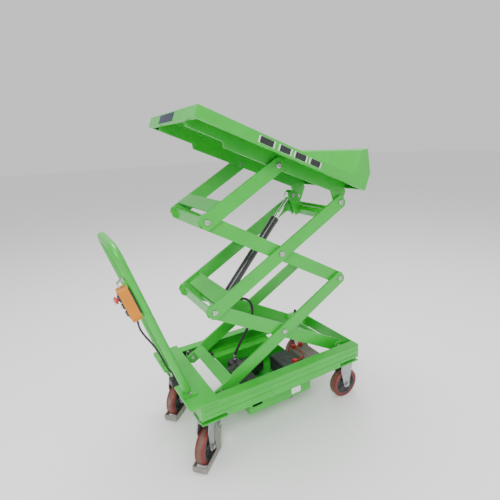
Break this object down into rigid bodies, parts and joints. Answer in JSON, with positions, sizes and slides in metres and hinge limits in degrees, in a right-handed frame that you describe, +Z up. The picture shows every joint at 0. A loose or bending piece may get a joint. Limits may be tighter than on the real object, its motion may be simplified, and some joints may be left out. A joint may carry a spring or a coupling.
{
  "type": "scissor lift table",
  "caption": "Mobile double scissor lift table with a tilting platform, push handle and pendant control.",
  "frame": {"origin": "on the floor under the middle of the whole table's box", "axes": "+X from the push handle to the end stop, +Y across the table, +Z up"},
  "size_m": [1.1055, 0.554, 1.4077],
  "materials": {
    "green_paint": "satin powder coat",
    "bright_steel": "machined",
    "zinc_steel": "zinc plated",
    "red_tread": "smooth polyurethane",
    "black_paint": "semi gloss",
    "cast_block": "rough",
    "chrome": "polished",
    "black_rubber": "matte",
    "red_cable": "matte",
    "black_plastic": "matte",
    "red_plastic": "gloss",
    "battery_case": "matte",
    "orange_plastic": "matte",
    "white_plastic": "gloss"
  },
  "bodies": {
    "base": {"side_rails": "green_paint", "end_plates": "green_paint", "handle_deck": "green_paint", "frame_brackets": "green_paint", "base_pivot_pins": "bright_steel", "rigid_caster_forks": "zinc_steel", "right_axle_bolts": "bright_steel", "swivel_top_plates": "zinc_steel", "frame_bolts": "bright_steel", "push_handle": "green_paint", "pendant_holster": "black_plastic", "pendant_body": "orange_plastic", "pendant_panel": "black_plastic", "pendant_hook": "bright_steel", "cable_gland": "black_plastic", "pendant_cable": "black_rubber", "power_tray": "green_paint", "left_battery": "battery_case", "right_battery": "battery_case", "terminal_boots": "red_plastic", "battery_cable": "red_cable", "pump_motor": "black_paint", "pump_block": "cast_block", "oil_tank": "black_paint", "control_box": "black_plastic", "end_knob": "black_plastic", "hydraulic_hose": "black_rubber"},
    "lower_inner_arms": {"lower_inner_frame": "green_paint", "lower_inner_pins": "bright_steel"},
    "lower_outer_arms": {"lower_outer_frame": "green_paint", "right_elbow_pins": "bright_steel", "roller_axles": "bright_steel"},
    "near_roller": {"near_roller": "bright_steel"},
    "far_roller": {"far_roller": "bright_steel"},
    "upper_outer_arms": {"upper_outer_frame": "green_paint", "upper_outer_pins": "bright_steel"},
    "upper_inner_arms": {"upper_inner_frame": "green_paint", "left_top_pins": "bright_steel"},
    "tilt_link": {"tilt_link": "green_paint", "tilt_link_pins": "bright_steel"},
    "platform": {"platform_deck": "green_paint", "platform_beams": "green_paint", "end_stop": "green_paint"},
    "cylinder_barrel": {"cylinder_barrel": "black_paint"},
    "cylinder_rod": {"cylinder_rod": "chrome"},
    "near_swivel_caster": {"near_swivel_fork": "zinc_steel", "near_left_axle": "bright_steel", "near_toe_guard": "zinc_steel"},
    "far_swivel_caster": {"far_swivel_fork": "zinc_steel", "far_left_axle": "bright_steel", "far_toe_guard": "zinc_steel"},
    "near_left_wheel": {"near_left_wheel": "red_tread"},
    "far_left_wheel": {"far_left_wheel": "red_tread"},
    "near_right_wheel": {"near_right_wheel": "red_tread"},
    "far_right_wheel": {"far_right_wheel": "red_tread"},
    "near_brake_pedal": {"near_brake_pedal": "zinc_steel"},
    "far_brake_pedal": {"far_brake_pedal": "zinc_steel"},
    "up_button": {"up_button": "white_plastic"},
    "down_button": {"down_button": "white_plastic"},
    "stop_button": {"stop_button": "red_plastic"}
  },
  "joints": [
    {"name": "lift", "type": "hinge", "parent": "base", "child": "lower_inner_arms", "pos_m": [0.471, 0, 0.267], "axis": [0, 1, 0], "range_deg": [-23.38, 1.84], "deforming": ["hydraulic_hose"]},
    {"name": "lower_scissor", "type": "hinge", "parent": "lower_inner_arms", "child": "lower_outer_arms", "pos_m": [0.14091, 0, 0.45118], "axis": [0, 1, 0], "range_deg": [-3.83, 46.91]},
    {"name": "left_elbow", "type": "hinge", "parent": "lower_inner_arms", "child": "upper_outer_arms", "pos_m": [-0.18919, 0, 0.63536], "axis": [0, 1, 0], "range_deg": [-3.83, 46.91]},
    {"name": "upper_scissor", "type": "hinge", "parent": "upper_outer_arms", "child": "upper_inner_arms", "pos_m": [0.14091, 0, 0.81954], "axis": [0, 1, 0], "range_deg": [-46.91, 3.83]},
    {"name": "platform_pivot", "type": "hinge", "parent": "upper_outer_arms", "child": "platform", "pos_m": [0.471, 0, 1.00372], "axis": [0, 1, 0], "range_deg": [-46.05, 3.76]},
    {"name": "tilt_link_pivot", "type": "hinge", "parent": "upper_inner_arms", "child": "tilt_link", "pos_m": [-0.18919, 0, 1.00372], "axis": [0, 1, 0], "range_deg": [-3.79, 46.45]},
    {"name": "barrel_pivot", "type": "hinge", "parent": "lower_inner_arms", "child": "cylinder_barrel", "pos_m": [-0.0678, 0.045, 0.56763], "axis": [0, 1, 0], "range_deg": [-4.34, 53.4]},
    {"name": "rod_slide", "type": "slide", "parent": "cylinder_barrel", "child": "cylinder_rod", "axis": [0.661, 0, 0.7504], "range_m": [-0.08862, 0.00716]},
    {"name": "near_roller_spin", "type": "hinge", "parent": "lower_outer_arms", "child": "near_roller", "pos_m": [-0.18919, -0.225, 0.267], "axis": [0, 1, 0], "continuous": true},
    {"name": "far_roller_spin", "type": "hinge", "parent": "lower_outer_arms", "child": "far_roller", "pos_m": [-0.18919, 0.225, 0.267], "axis": [0, 1, 0], "continuous": true},
    {"name": "near_swivel", "type": "hinge", "parent": "base", "child": "near_swivel_caster", "pos_m": [-0.266, -0.184, 0.19], "axis": [0, 0, 1], "continuous": true},
    {"name": "near_left_wheel_spin", "type": "hinge", "parent": "near_swivel_caster", "child": "near_left_wheel", "pos_m": [-0.29424, -0.20943, 0.075], "axis": [-0.6691, 0.7431, 0], "continuous": true},
    {"name": "near_brake", "type": "hinge", "parent": "near_swivel_caster", "child": "near_brake_pedal", "pos_m": [-0.22884, -0.15054, 0.098], "axis": [-0.6691, 0.7431, 0], "range_deg": [0, 22]},
    {"name": "near_right_wheel_spin", "type": "hinge", "parent": "base", "child": "near_right_wheel", "pos_m": [0.476, -0.201, 0.075], "axis": [0, 1, 0], "continuous": true},
    {"name": "far_swivel", "type": "hinge", "parent": "base", "child": "far_swivel_caster", "pos_m": [-0.266, 0.184, 0.19], "axis": [0, 0, 1], "continuous": true},
    {"name": "far_left_wheel_spin", "type": "hinge", "parent": "far_swivel_caster", "child": "far_left_wheel", "pos_m": [-0.29424, 0.15857, 0.075], "axis": [-0.6691, 0.7431, 0], "continuous": true},
    {"name": "far_brake", "type": "hinge", "parent": "far_swivel_caster", "child": "far_brake_pedal", "pos_m": [-0.22884, 0.21746, 0.098], "axis": [-0.6691, 0.7431, 0], "range_deg": [0, 22]},
    {"name": "far_right_wheel_spin", "type": "hinge", "parent": "base", "child": "far_right_wheel", "pos_m": [0.476, 0.201, 0.075], "axis": [0, 1, 0], "continuous": true},
    {"name": "up_button_press", "type": "slide", "parent": "base", "child": "up_button", "axis": [0.9569, 0, 0.2905], "range_m": [0, 0.002], "stiffness_N_per_m": 400},
    {"name": "down_button_press", "type": "slide", "parent": "base", "child": "down_button", "axis": [0.9569, 0, 0.2905], "range_m": [0, 0.002], "stiffness_N_per_m": 400},
    {"name": "stop_button_press", "type": "slide", "parent": "base", "child": "stop_button", "axis": [0.9569, 0, 0.2905], "range_m": [0, 0.004]}
  ],
  "couplings": [
    {"joint": "lower_scissor", "follows": "lift", "ratio": -2},
    {"joint": "left_elbow", "follows": "lift", "ratio": -2},
    {"joint": "upper_scissor", "follows": "lift", "ratio": 2},
    {"joint": "platform_pivot", "follows": "lift", "ratio": 1.9632},
    {"joint": "tilt_link_pivot", "follows": "lift", "ratio": -1.9805},
    {"joint": "barrel_pivot", "follows": "lift", "ratio": -2.2775},
    {"joint": "rod_slide", "follows": "lift", "m_per_rad": 0.21669}
  ]
}
